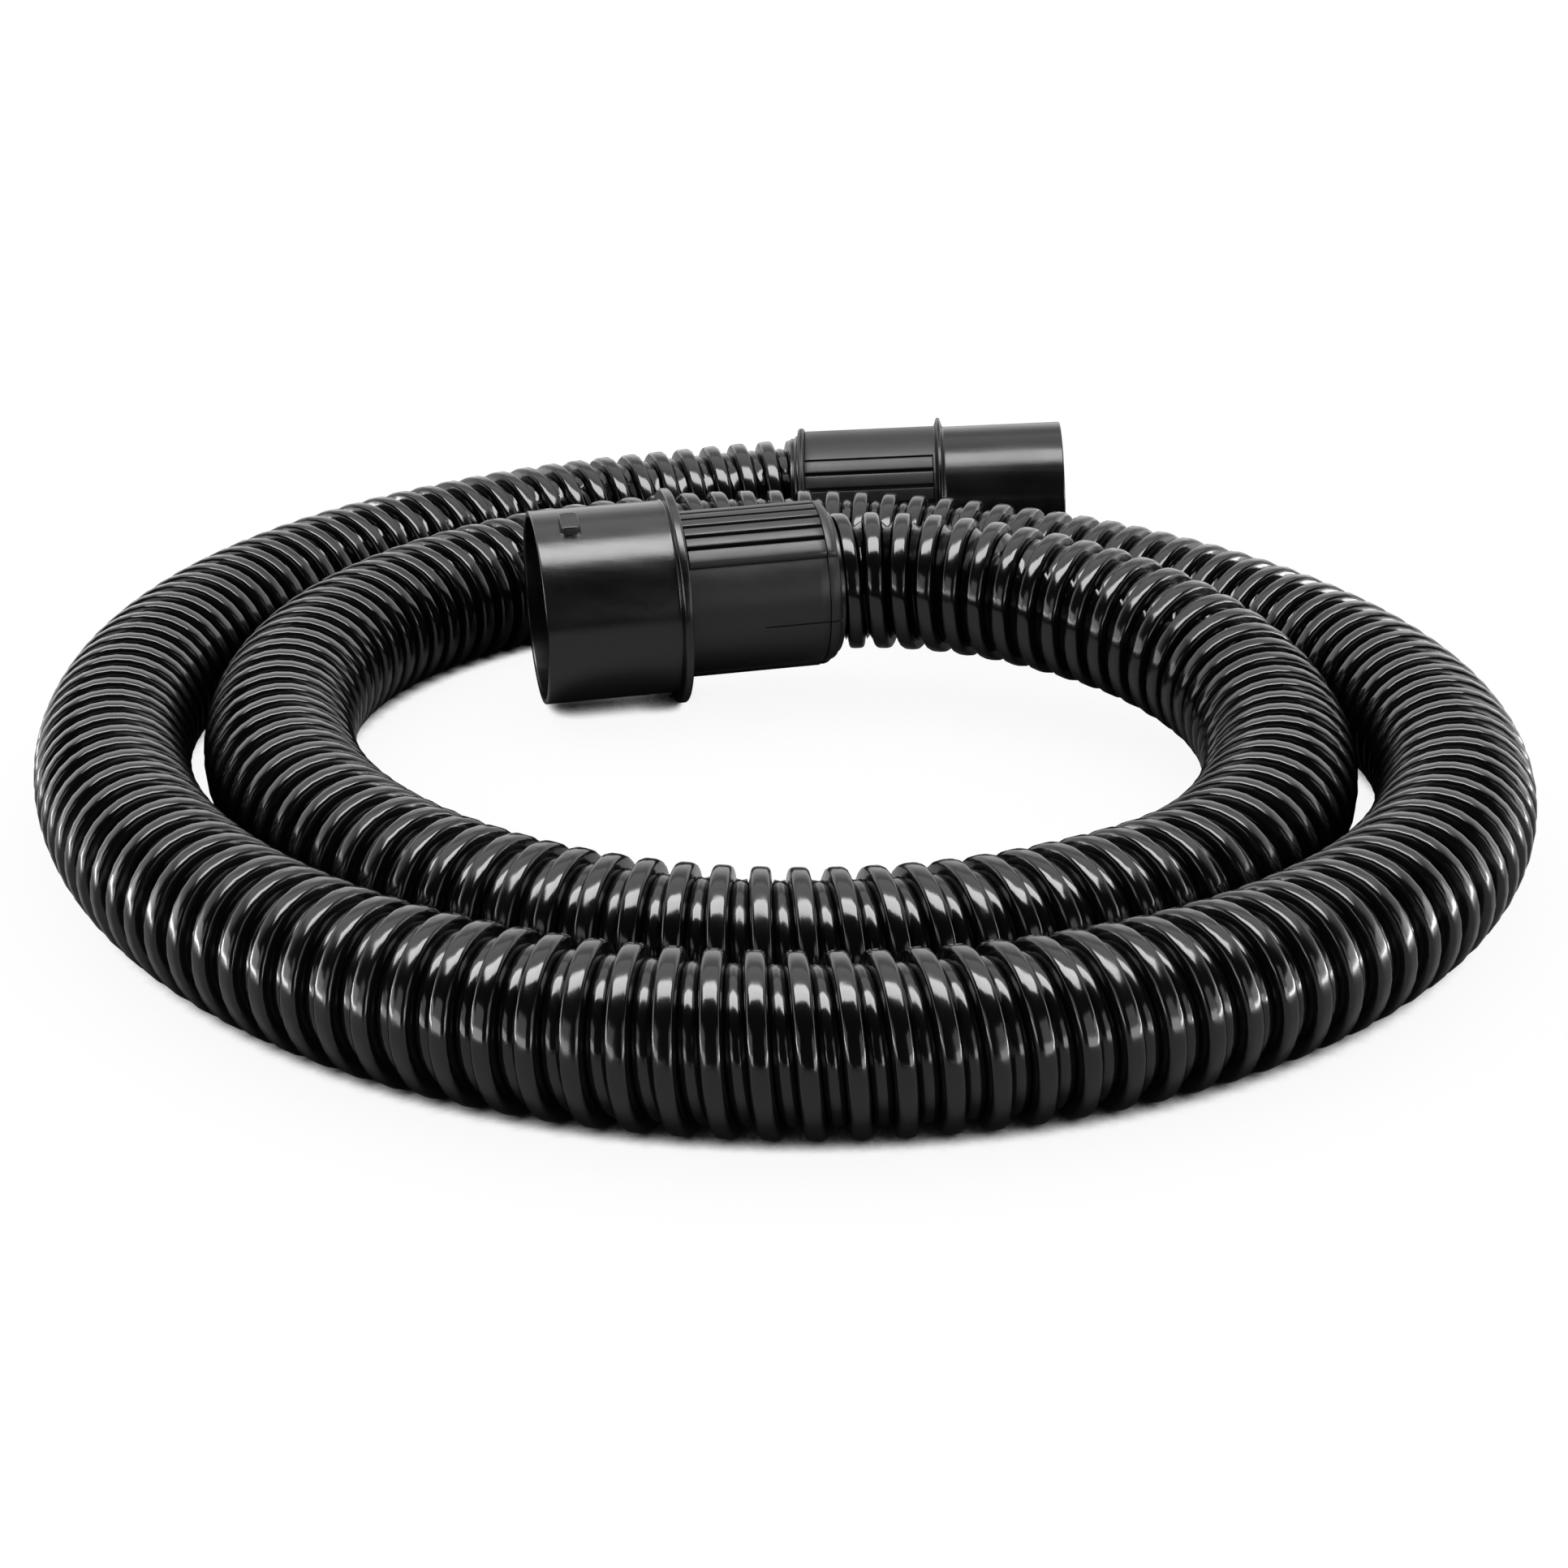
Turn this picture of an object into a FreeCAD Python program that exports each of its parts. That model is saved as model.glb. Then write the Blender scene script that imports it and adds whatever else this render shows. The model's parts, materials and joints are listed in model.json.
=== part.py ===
import FreeCAD, Part
import math
import os

import Sketcher

# A ribbed vacuum hose that lies on the floor in one and three quarter turns, with a cuff at each end
# that swivels on a sleeve screwed on the hose. Millimetres and degrees, +Z up, origin on the floor
# under the middle of the part.
#
# Each end has a frame of its own: its origin is the middle of the cuff's mouth, its Z runs from the
# mouth along the cuff into the hose, and its X is the side that faces up.

SIZES = {
    # The hose, a ribbed tube.
    "hose_radius": 20.5,
    "hose_valley_radius": 17.6,
    "hose_bore_radius": 16.0,
    "rib_pitch": 10.5,
    "rib_crest_width": 4.2,
    "rib_flank_width": 0.9,
    "floor_flat_depth": 0.5,
    # The lie of the coil, seen from above: its radius grows by coil_growth in each turn.
    "coil_radius": 115.85,
    "coil_growth": 44.35,
    "coil_oval": 5.77,
    "coil_oval_angle": 27.1,
    "coil_lobe": 1.7,
    "coil_lobe_angle": 32.5,
    "coil_first_angle": 150.0,
    "coil_last_angle": 690.0,
    "coil_step": 15.0,
    "bend_start": 12.0,
    # Where each cuff lies: the middle of its flange from the middle of the coil, its heading and its rise.
    "tank_flange_x": -39.95,
    "tank_flange_y": 82.93,
    "tank_heading": 11.35,
    "tank_rise": 1.63,
    "wand_flange_x": 46.46,
    "wand_flange_y": 210.96,
    "wand_heading": 178.61,
    "wand_rise": -2.97,
    # The cuff that locks into the tank.
    "tank_length": 88.2,
    "tank_flange_place": 41.0,
    "tank_barrel_radius": 28.7,
    "tank_barrel_wall": 1.6,
    "tank_flange_radius": 32.1,
    "tank_flange_root": 3.4,
    "tank_flange_edge": 2.6,
    "tank_panel_radius": 23.4,
    "tank_strip_radius": 25.0,
    "tank_strip_pitch": 10.15,
    "tank_strip_centre": 19.2,
    "tank_rim_radius": 24.8,
    "tank_rim_width": 3.6,
    "tank_chamber_radius": 22.5,
    "tank_collar_length": 1.4,
    "lug_width": 8.0,
    "lug_length": 5.8,
    "lug_height": 2.5,
    "lug_place": 10.3,
    "lug_angle": 19.2,
    "lug_corner": 1.5,
    "lug_edge": 0.5,
    # The cuff that takes the wand.
    "wand_length": 88.5,
    "wand_flange_place": 41.1,
    "wand_barrel_radius": 22.7,
    "wand_barrel_wall": 1.5,
    "wand_flange_radius": 25.8,
    "wand_flange_root": 2.8,
    "wand_flange_edge": 1.0,
    "wand_panel_radius": 23.1,
    "wand_strip_radius": 23.7,
    "wand_strip_pitch": 13.15,
    "wand_strip_centre": -79.3,
    "wand_rim_radius": 24.2,
    "wand_rim_width": 2.3,
    "wand_chamber_radius": 22.2,
    "wand_collar_length": 2.6,
    # What both ends share.
    "strip_groove": 1.0,
    "strip_root": 0.6,
    "web_thickness": 2.4,
    "funnel_length": 6.0,
    "seal_thickness": 2.0,
    "seal_bore_radius": 17.2,
    "stop_thickness": 2.0,
    "ring_bore_radius": 21.6,
    "ring_lip_length": 3.0,
    "thread_root_width": 3.4,
    "thread_crest_width": 2.6,
    "collar_taper": 0.4,
    "mouth_round": 0.5,
    "rim_round": 1.5,
    # Clearances.
    "swivel_gap": 0.3,
    "end_gap": 0.3,
    "hose_fit": 0.1,
    "ring_fit": 0.05,
    "thread_gap": 0.6,
}

# The hose between each cuff and the coil, from the middle of the coil: across, back and up. The
# first list is chosen so that the hose clears its outer turn, the last so that it clears the cuff.
TANK_BEND = [
    (48.3, 87.2, 34.2),
    (76.2, 72.1, 33.0),
    (100.7, 52.4, 30.6),
    (120.4, 26.9, 24.8),
    (127.1, -4.6, 20.7),
    (123.6, -39.4, 20.0),
    (112.0, -73.3, 20.0),
    (94.7, -101.9, 20.0),
]
WAND_BEND = [
    (-74.5, 199.0, 20.0),
    (-49.5, 206.3, 20.6),
]

STRIPS_IN_A_GROUP = 6
THREADS_IN_A_SLEEVE = 3

doc = FreeCAD.newDocument("vacuum_hose")
sheet = doc.addObject("Spreadsheet::Sheet", "Sizes")


class Size:
    """A size as a number, with the formula on the sheet's cells that gives it."""

    def __init__(self, value, formula):
        self.value = value
        self.formula = formula

    def __add__(self, other):
        other = as_size(other)
        return Size(self.value + other.value, f"({self.formula} + {other.formula})")

    def __sub__(self, other):
        other = as_size(other)
        return Size(self.value - other.value, f"({self.formula} - {other.formula})")

    def __mul__(self, other):
        other = as_size(other)
        return Size(self.value * other.value, f"({self.formula} * {other.formula})")

    def __truediv__(self, other):
        other = as_size(other)
        return Size(self.value / other.value, f"({self.formula} / {other.formula})")

    def __neg__(self):
        return Size(-self.value, f"(-1 * {self.formula})")


def as_size(number):
    return number if isinstance(number, Size) else Size(float(number), repr(float(number)))


def cosine(angle):
    return Size(math.cos(math.radians(angle.value)), f"cos({angle.formula})")


def sine(angle):
    return Size(math.sin(math.radians(angle.value)), f"sin({angle.formula})")


def keep(name, value):
    """Writes a value to the next free row of the sheet, under its own name."""
    row = keep.row
    sheet.set(f"A{row}", name)
    sheet.set(f"B{row}", repr(float(value)))
    sheet.setAlias(f"B{row}", name)
    keep.row = row + 1


keep.row = 1
for size_name, size_value in SIZES.items():
    keep(size_name, size_value)
doc.recompute()


def size(name):
    return Size(float(sheet.get(name)), f"Sizes.{name}")


# Frames of the two ends


class End:
    """One end of the hose: its cuff's sizes and its place."""

    def __init__(self, prefix):
        self.prefix = prefix
        self.flange_middle = self.of("flange_place")
        self.web_bottom = self.flange_middle - size("web_thickness") / 2
        self.web_top = self.flange_middle + size("web_thickness") / 2
        self.seal_top = self.web_top + size("seal_thickness")
        self.sleeve_start = self.seal_top + size("end_gap")
        self.stop_top = self.sleeve_start + size("stop_thickness")
        self.hose_start = self.stop_top + size("end_gap")
        self.cuff_end = self.of("length") - self.of("rim_width")
        self.lip_start = self.cuff_end - size("ring_lip_length")
        heading = math.radians(self.of("heading").value)
        rise = math.radians(self.of("rise").value)
        self.direction = FreeCAD.Vector(
            math.cos(heading) * math.cos(rise), math.sin(heading) * math.cos(rise), math.sin(rise)
        )
        self.flange_height = self.of("flange_radius").value * math.cos(rise)
        self.flange_height += self.of("flange_edge").value / 2 * abs(math.sin(rise))

    def of(self, name):
        return size(f"{self.prefix}_{name}")

    def along(self, distance):
        """The point of the cuff's axis at a distance from its mouth, from the middle of the coil."""
        flange = FreeCAD.Vector(self.of("flange_x").value, self.of("flange_y").value, self.flange_height)
        return flange + self.direction * (distance - self.flange_middle.value)

    def placement(self, shift):
        up = FreeCAD.Vector(0, 0, 1)
        x_axis = (up - self.direction * up.dot(self.direction)).normalize()
        y_axis = self.direction.cross(x_axis)
        turn = FreeCAD.Rotation(x_axis, y_axis, self.direction, "ZXY")
        return FreeCAD.Placement(self.along(0) + shift, turn)


tank = End("tank")
wand = End("wand")


# The line of the hose


def coil_points():
    """Points about the coil, each as far out as keeps the smooth line through them on the coil."""
    oval_angle = size("coil_oval_angle").value
    lobe_angle = size("coil_lobe_angle").value
    first = size("coil_first_angle").value
    steps = round((size("coil_last_angle").value - first) / size("coil_step").value)
    step = (size("coil_last_angle").value - first) / steps
    height = size("hose_radius").value - size("floor_flat_depth").value
    points = []
    for i in range(steps + 1):
        angle = first + i * step
        radius = size("coil_radius").value + size("coil_growth").value * angle / 360
        radius += size("coil_oval").value * math.cos(math.radians(2 * (angle + oval_angle)))
        radius += size("coil_lobe").value * math.cos(math.radians(3 * (angle + lobe_angle)))
        radius /= math.cos(math.radians(step / 2))
        across = radius * math.sin(math.radians(angle))
        back = radius * math.cos(math.radians(angle))
        points.append(FreeCAD.Vector(across, back, height))
    return points


def straight_points(end):
    """Three points on the cuff's axis, so that the hose enters the cuff straight."""
    start = end.hose_start.value
    last = end.of("length").value + size("bend_start").value
    return [end.along(start), end.along((start + last) / 2), end.along(last)]


def route_points():
    tank_side = straight_points(tank) + [FreeCAD.Vector(*point) for point in TANK_BEND]
    wand_side = [FreeCAD.Vector(*point) for point in WAND_BEND] + straight_points(wand)[::-1]
    return tank_side + coil_points() + wand_side


def smooth_line(points):
    """The quadratic curve that starts and ends at the end points and touches each leg at its middle."""
    spans = len(points) - 2
    curve = Part.BSplineCurve()
    inner = [1] * (spans - 1)
    curve.buildFromPolesMultsKnots(points, [3] + inner + [3], list(range(spans + 1)), False, 2)
    return curve.toShape()


def part_middle(line):
    """The middle of the part's box, seen from above, from the middle of the coil."""
    samples = line.discretize(Number=4000)
    radius = size("hose_radius").value
    middle = []
    for axis in range(2):
        low = min(point[axis] for point in samples) - radius
        high = max(point[axis] for point in samples) + radius
        for end in (tank, wand):
            reach = end.of("flange_radius").value * math.sqrt(1 - end.direction[axis] ** 2)
            reach += end.of("flange_edge").value / 2 * abs(end.direction[axis])
            place = end.along(end.flange_middle.value)[axis]
            low = min(low, place - reach)
            high = max(high, place + reach)
        middle.append((low + high) / 2)
    return middle


route = smooth_line(route_points())
centre_x, centre_y = part_middle(route)
shift = FreeCAD.Vector(-centre_x, -centre_y, 0)
route.translate(shift)

rib_count = round(route.Length / size("rib_pitch").value)
keep("rib_step", route.Length / rib_count)
doc.recompute()


# The hose


def ring_at(distance, radius):
    """A circle square to the hose's line, which starts at its upper side."""
    place = route.getParameterByLength(distance)
    along = route.tangentAt(place)
    up = FreeCAD.Vector(0, 0, 1)
    x_axis = (up - along * up.dot(along)).normalize()
    turn = FreeCAD.Rotation(x_axis, along.cross(x_axis), along, "ZXY")
    circle = Part.makeCircle(radius)
    circle.Placement = FreeCAD.Placement(route.valueAt(place), turn)
    return Part.Wire([circle])


def hose_stations():
    """Distance and radius of each circle of the ribs: four to a rib, and one at each end."""
    step = size("rib_step").value
    crest = size("rib_crest_width").value
    flank = size("rib_flank_width").value
    valley = size("hose_valley_radius").value
    top = size("hose_radius").value
    stations = [(0.0, valley)]
    for i in range(rib_count):
        middle = (i + 0.5) * step
        stations.append((middle - crest / 2 - flank, valley))
        stations.append((middle - crest / 2, top))
        stations.append((middle + crest / 2, top))
        stations.append((middle + crest / 2 + flank, valley))
    stations.append((route.Length, valley))
    return stations


def hose_shape():
    """The ribs' loft less the bore's loft, cut flat where the hose lies on the floor."""
    bore = size("hose_bore_radius").value
    shares = [i / rib_count for i in range(rib_count + 1)]
    outer = Part.makeLoft([ring_at(place, radius) for place, radius in hose_stations()], True, True)
    inner = Part.makeLoft([ring_at(route.Length * share, bore) for share in shares], True, True)
    tube = outer.cut(inner)
    print("hose volume", round(tube.Volume), "and by its section", round(section_volume()))
    box = route.BoundBox
    box.enlarge(2 * size("hose_radius").value)
    below = FreeCAD.Vector(box.XMin, box.YMin, box.ZMin)
    return tube.cut(Part.makeBox(box.XLength, box.YLength, -box.ZMin, below))


def section_volume():
    """Volume of the ribbed wall on a straight line as long as the hose's."""
    stations = hose_stations()
    total = -math.pi * size("hose_bore_radius").value ** 2 * stations[-1][0]
    for (start, first), (stop, last) in zip(stations, stations[1:]):
        total += math.pi * (stop - start) * (first**2 + first * last + last**2) / 3
    return total


def least_gap():
    """The least gap between two stretches of the hose that lie side by side."""
    spacing = size("hose_radius").value / 4
    count = int(route.Length / spacing)
    points = [route.valueAt(route.getParameterByLength(i * spacing)) for i in range(count + 1)]
    apart = int(8 * size("hose_radius").value / spacing)
    nearest = min(
        points[i].distanceToPoint(points[j]) for i in range(count + 1) for j in range(i + apart, count + 1)
    )
    return nearest - 2 * size("hose_radius").value


def tightest_bend():
    """The least radius of the hose's line, measured twice in each rib."""
    step = size("rib_step").value / 2
    places = [route.getParameterByLength(step * (i + 0.5)) for i in range(2 * rib_count)]
    return 1 / max(route.curvatureAt(place) for place in places)


hose = doc.addObject("Part::Feature", "hose_tube")
hose.Shape = hose_shape()
print("hose length", round(route.Length, 1), "ribs", rib_count)
print("least gap of the hose to itself", round(least_gap(), 2))
print("tightest bend", round(tightest_bend(), 1))


# Helpers for the turned pieces


def plane_of(body, role):
    return next(feature for feature in body.Origin.OriginFeatures if feature.Role == role)


def new_sketch(body, name, role):
    sketch = body.newObject("Sketcher::SketchObject", name)
    sketch.AttachmentSupport = [(plane_of(body, role), "")]
    sketch.MapMode = "FlatFace"
    return sketch


def hold_corner(sketch, line, kind, axis, distance):
    """Sets how far the start of a line is from the sketch's middle, along one axis."""
    if abs(distance.value) < 1e-9:
        sketch.addConstraint(Sketcher.Constraint("PointOnObject", line, 1, axis))
        return
    if distance.value > 0:
        index = sketch.addConstraint(Sketcher.Constraint(kind, -1, 1, line, 1, distance.value))
    else:
        distance = -distance
        index = sketch.addConstraint(Sketcher.Constraint(kind, line, 1, -1, 1, distance.value))
    sketch.setExpression(f"Constraints[{index}]", distance.formula)


def draw_outline(sketch, corners):
    """Adds a closed outline through corners, each bound to the sheet."""
    first = sketch.GeometryCount
    count = len(corners)
    points = [FreeCAD.Vector(x.value, y.value, 0) for x, y in corners]
    for i in range(count):
        sketch.addGeometry(Part.LineSegment(points[i], points[(i + 1) % count]), False)
    for i in range(count):
        sketch.addConstraint(Sketcher.Constraint("Coincident", first + i, 2, first + (i + 1) % count, 1))
    for i, (x, y) in enumerate(corners):
        hold_corner(sketch, first + i, "DistanceX", -2, x)
        hold_corner(sketch, first + i, "DistanceY", -1, y)


def turned_piece(name, corners):
    """A body turned about its Z from corners, each a radius and a distance from the mouth."""
    body = doc.addObject("PartDesign::Body", name)
    body.Label = name
    sketch = new_sketch(body, f"{name}_profile", "XZ_Plane")
    draw_outline(sketch, [(as_size(radius), as_size(place)) for radius, place in corners])
    turned = body.newObject("PartDesign::Revolution", f"{name}_turned")
    turned.Profile = sketch
    turned.ReferenceAxis = (sketch, ["V_Axis"])
    turned.Angle = 360
    body.Tip = turned
    doc.recompute()
    return body


def circles_at(shape, radius, place):
    """Names of the circular edges of a radius at a distance from the mouth."""
    names = []
    for number, edge in enumerate(shape.Edges, start=1):
        curve = edge.Curve
        if not isinstance(curve, Part.Circle):
            continue
        if abs(curve.Radius - radius.value) < 0.01 and abs(curve.Center.z - place.value) < 0.01:
            names.append(f"Edge{number}")
    return names


def round_edges(body, name, edges, radius):
    base = body.Tip
    rounding = body.newObject("PartDesign::Fillet", name)
    rounding.Base = (base, edges)
    rounding.setExpression("Radius", radius.formula)
    body.Tip = rounding
    doc.recompute()


# The pieces of each end


def make_cuff(end):
    """A moulding: barrel, flange, web with its funnel, and the grip's tube with its chamber."""
    barrel = end.of("barrel_radius")
    barrel_bore = barrel - end.of("barrel_wall")
    flange = end.of("flange_radius")
    half_root = end.of("flange_root") / 2
    half_edge = end.of("flange_edge") / 2
    middle = end.flange_middle
    panel = end.of("panel_radius")
    chamber = end.of("chamber_radius")
    bore = size("hose_bore_radius")
    corners = [
        (barrel, 0),
        (barrel, middle - half_root),
        (flange, middle - half_edge),
        (flange, middle + half_edge),
        (panel, middle + half_root),
        (panel, end.cuff_end),
        (chamber, end.cuff_end),
        (chamber, end.web_top),
        (bore, end.web_top),
        (bore, end.web_bottom),
        (barrel_bore, end.web_bottom - size("funnel_length")),
        (barrel_bore, 0),
    ]
    body = turned_piece(f"{end.prefix}_cuff", corners)
    zero = as_size(0)
    edges = circles_at(body.Shape, barrel, zero) + circles_at(body.Shape, barrel_bore, zero)
    round_edges(body, f"{end.prefix}_mouth_round", edges, size("mouth_round"))
    return body


def add_grip_strips(body, end):
    """Two groups of raised strips on opposite sides of the grip."""
    inner = end.of("panel_radius") - size("strip_root")
    outer = end.of("strip_radius")
    pitch = end.of("strip_pitch")
    width = pitch - size("strip_groove") / outer * (180 / math.pi)
    count = round(STRIPS_IN_A_GROUP)
    first = end.of("strip_centre") - pitch * ((count - 1) / 2)
    sketch = new_sketch(body, f"{end.prefix}_strip_outline", "XY_Plane")
    sketch.setExpression("AttachmentOffset.Base.z", end.flange_middle.formula)
    for side in (0, 180):
        ahead = first + width / 2 + side
        behind = first - width / 2 + side
        corners = [
            (inner * cosine(behind), inner * sine(behind)),
            (outer * cosine(behind), outer * sine(behind)),
            (outer * cosine(first + side), outer * sine(first + side)),
            (outer * cosine(ahead), outer * sine(ahead)),
            (inner * cosine(ahead), inner * sine(ahead)),
        ]
        draw_outline(sketch, corners)
    strip = body.newObject("PartDesign::Pad", f"{end.prefix}_strip")
    strip.Profile = sketch
    strip.setExpression("Length", (end.cuff_end - end.flange_middle).formula)
    body.Tip = strip
    doc.recompute()
    row = body.newObject("PartDesign::PolarPattern", f"{end.prefix}_strips")
    row.Originals = [strip]
    row.Axis = (sketch, ["N_Axis"])
    row.Occurrences = count
    row.setExpression("Angle", (pitch * (count - 1)).formula)
    body.Tip = row
    doc.recompute()


def lug_corners(shape, outward, root):
    """Names of the straight edges that stand up along a direction, further out than a height."""
    names = []
    for number, edge in enumerate(shape.Edges, start=1):
        low, high = sorted(vertex.Point.dot(outward) for vertex in (edge.Vertexes[0], edge.Vertexes[-1]))
        if low > root and high - low > 0.9 * edge.Length:
            names.append(f"Edge{number}")
    return names


def edges_at_height(shape, outward, height):
    """Names of the edges that lie square to a direction, at a height along it."""
    names = []
    for number, edge in enumerate(shape.Edges, start=1):
        if all(abs(point.dot(outward) - height) < 0.01 for point in edge.discretize(4)):
            names.append(f"Edge{number}")
    return names


def add_lug(body, end):
    """The square lug near the mouth of the tank cuff, square to the barrel at its own angle."""
    half_width = size("lug_width") / 2
    low = size("lug_place") - size("lug_length") / 2
    high = size("lug_place") + size("lug_length") / 2
    root = end.of("barrel_radius") - size("strip_root")
    sketch = new_sketch(body, "lug_outline", "YZ_Plane")
    sketch.AttachmentOffset = FreeCAD.Placement(
        FreeCAD.Vector(0, 0, 0), FreeCAD.Rotation(FreeCAD.Vector(0, 1, 0), size("lug_angle").value)
    )
    sketch.setExpression("AttachmentOffset.Base.x", (root * sine(size("lug_angle"))).formula)
    sketch.setExpression("AttachmentOffset.Base.z", (root * cosine(size("lug_angle"))).formula)
    draw_outline(sketch, [(-half_width, low), (half_width, low), (half_width, high), (-half_width, high)])
    lug = body.newObject("PartDesign::Pad", "lug")
    lug.Profile = sketch
    lug.setExpression("Length", (size("strip_root") + size("lug_height")).formula)
    body.Tip = lug
    doc.recompute()
    outward = FreeCAD.Vector(cosine(size("lug_angle")).value, sine(size("lug_angle")).value, 0)
    round_edges(body, "lug_corners", lug_corners(body.Tip.Shape, outward, root.value), size("lug_corner"))
    top = (end.of("barrel_radius") + size("lug_height")).value
    round_edges(body, "lug_top", edges_at_height(body.Tip.Shape, outward, top), size("lug_edge"))


def make_end_ring(end):
    """The ring that holds the sleeve in the cuff, with a lip inside the chamber."""
    lip = end.of("chamber_radius") - size("ring_fit")
    rim = end.of("rim_radius")
    bore = size("ring_bore_radius")
    corners = [
        (bore, end.lip_start),
        (lip, end.lip_start),
        (lip, end.cuff_end),
        (rim, end.cuff_end),
        (rim, end.of("length")),
        (bore, end.of("length")),
    ]
    body = turned_piece(f"{end.prefix}_end_ring", corners)
    edges = circles_at(body.Shape, rim, end.of("length"))
    round_edges(body, f"{end.prefix}_rim_round", edges, size("rim_round"))
    return body


def make_seal(end):
    """The flat ring between the web and the end of the sleeve."""
    outer = end.of("chamber_radius") - size("swivel_gap")
    inner = size("seal_bore_radius")
    corners = [(inner, end.web_top), (outer, end.web_top), (outer, end.seal_top), (inner, end.seal_top)]
    return turned_piece(f"{end.prefix}_seal", corners)


def make_sleeve(end):
    """The sleeve on the hose: a stop for its end, threads between its ribs, and a collar outside."""
    shoulder = end.of("chamber_radius") - size("swivel_gap")
    neck = size("ring_bore_radius") - size("swivel_gap")
    inside = size("hose_radius") + size("hose_fit")
    crest = size("hose_valley_radius") + size("thread_gap")
    tip = end.of("length") + end.of("collar_length")
    shoulder_end = end.lip_start - size("end_gap")
    corners = [
        (size("hose_bore_radius"), end.sleeve_start),
        (shoulder, end.sleeve_start),
        (shoulder, shoulder_end),
        (neck, shoulder_end),
        (neck, tip - size("collar_taper")),
        (neck - size("collar_taper"), tip),
        (inside, tip),
    ]
    half_root = size("thread_root_width") / 2
    half_crest = size("thread_crest_width") / 2
    for turn in range(round(THREADS_IN_A_SLEEVE), 0, -1):
        middle = end.hose_start + size("rib_step") * turn
        corners.append((inside, middle + half_root))
        corners.append((crest, middle + half_crest))
        corners.append((crest, middle - half_crest))
        corners.append((inside, middle - half_root))
    corners.append((inside, end.stop_top))
    corners.append((size("hose_bore_radius"), end.stop_top))
    return turned_piece(f"{end.prefix}_sleeve", corners)


pieces = [hose]
for end in (tank, wand):
    cuff = make_cuff(end)
    add_grip_strips(cuff, end)
    if end is tank:
        add_lug(cuff, end)
    for piece in (cuff, make_end_ring(end), make_sleeve(end), make_seal(end)):
        piece.Placement = end.placement(shift)
        pieces.append(piece)
doc.recompute()

# Checks, then the files

for thing in doc.Objects:
    if "Invalid" in thing.State or "Error" in thing.State:
        raise RuntimeError(f"{thing.Name} failed: {thing.State}")
for piece in pieces:
    shape = piece.Shape
    if shape.isNull() or not shape.isValid():
        raise RuntimeError(f"{piece.Label} has no sound shape")
    if len(shape.Solids) != 1:
        raise RuntimeError(f"{piece.Label} has {len(shape.Solids)} solids")

os.makedirs("parts", exist_ok=True)
for piece in pieces:
    piece.Shape.exportStep(f"parts/{piece.Label}.step")
    print(piece.Label, round(piece.Shape.Volume, 1), piece.Shape.BoundBox)
for end in (tank, wand):
    mouth = end.along(0) + shift
    print(end.prefix, "mouth", [round(c, 3) for c in mouth], "along", [round(c, 5) for c in end.direction])
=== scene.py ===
"""The looks of a ribbed vacuum hose with a swivelling cuff at each end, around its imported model.

Blender's units are metres. Tables of sizes are in millimetres. Each end has a frame of its own:
distances run along the cuff from its mouth into the hose, and angles turn from its upper side.
"""

import json
import math

import bmesh
import bpy
import numpy as np
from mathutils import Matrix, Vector


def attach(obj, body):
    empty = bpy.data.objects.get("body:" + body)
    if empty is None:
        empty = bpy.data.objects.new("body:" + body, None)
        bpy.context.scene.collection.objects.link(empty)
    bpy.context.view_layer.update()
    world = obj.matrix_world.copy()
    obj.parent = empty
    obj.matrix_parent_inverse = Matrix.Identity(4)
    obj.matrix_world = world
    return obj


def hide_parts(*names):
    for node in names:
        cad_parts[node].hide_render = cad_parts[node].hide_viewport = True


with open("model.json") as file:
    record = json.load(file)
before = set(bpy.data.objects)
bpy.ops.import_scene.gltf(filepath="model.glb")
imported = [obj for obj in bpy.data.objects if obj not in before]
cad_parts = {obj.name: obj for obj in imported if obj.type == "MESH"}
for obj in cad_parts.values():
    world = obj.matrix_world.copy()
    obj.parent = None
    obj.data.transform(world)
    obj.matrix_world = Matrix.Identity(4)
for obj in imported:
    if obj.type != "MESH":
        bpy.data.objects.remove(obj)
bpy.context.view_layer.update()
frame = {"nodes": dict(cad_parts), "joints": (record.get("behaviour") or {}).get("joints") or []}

MM = 0.001
UP = np.array([0.0, 0.0, 1.0])
ROUND = 2 * math.pi

# Both cuffs: how far the joint, the middle of the flange and the grip are from the mouth.
JOINT_PLACE = 65.0
FLANGE_PLACE = 41.0
GRIP_PLACE = 43.0

# The photograph's view, in metres and degrees.
CAMERA_PLACE = (0.003, -0.7630, 0.3088)
CAMERA_DOWN = 22.1
CAMERA_LENS = 67.2
SENSOR_WIDTH = 36.0

# The hose has a wide rib and a low one, both wound in a helix. The wide rib's table gives half its
# width at each radius, from its crest to its foot. The low rib's radii are given folded in, where a
# bend squeezes it, and raised. It rises with the stretch of the bend, which is worked out at
# RIB_MIDDLE, and with the distance from the tank cuff. GROOVE_EDGE is how far the edge of the groove
# between them is from the wide rib's middle.
TURN_LENGTH = 9.18
WIDE_RIB = [(0.75, 20.5), (1.5, 20.4), (2.05, 20.1), (2.36, 19.4), (2.72, 16.6)]
LOW_RIB_CREST = (16.3, 17.9)
LOW_RIB_EDGE = (17.8, 17.3)
GROOVE_EDGE = 3.09
LEAST_HALF_WIDTH = 0.08
RISES_WITH_STRETCH = (0.88, 1.0)
RISES_FROM_CUFF = (75.0, 120.0)
RIB_MIDDLE = 19.5
LEAST_STRETCH, MOST_STRETCH = 0.6, 1.5
HOSE_BORE = 16.0
HOSE_END = 17.2
END_TAPER = 2.5
HOSE_SHARP = 60.0
HOSE_SIDES = 32
BORE_ROWS = 101
TURNS_BEFORE_START = 2

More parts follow.
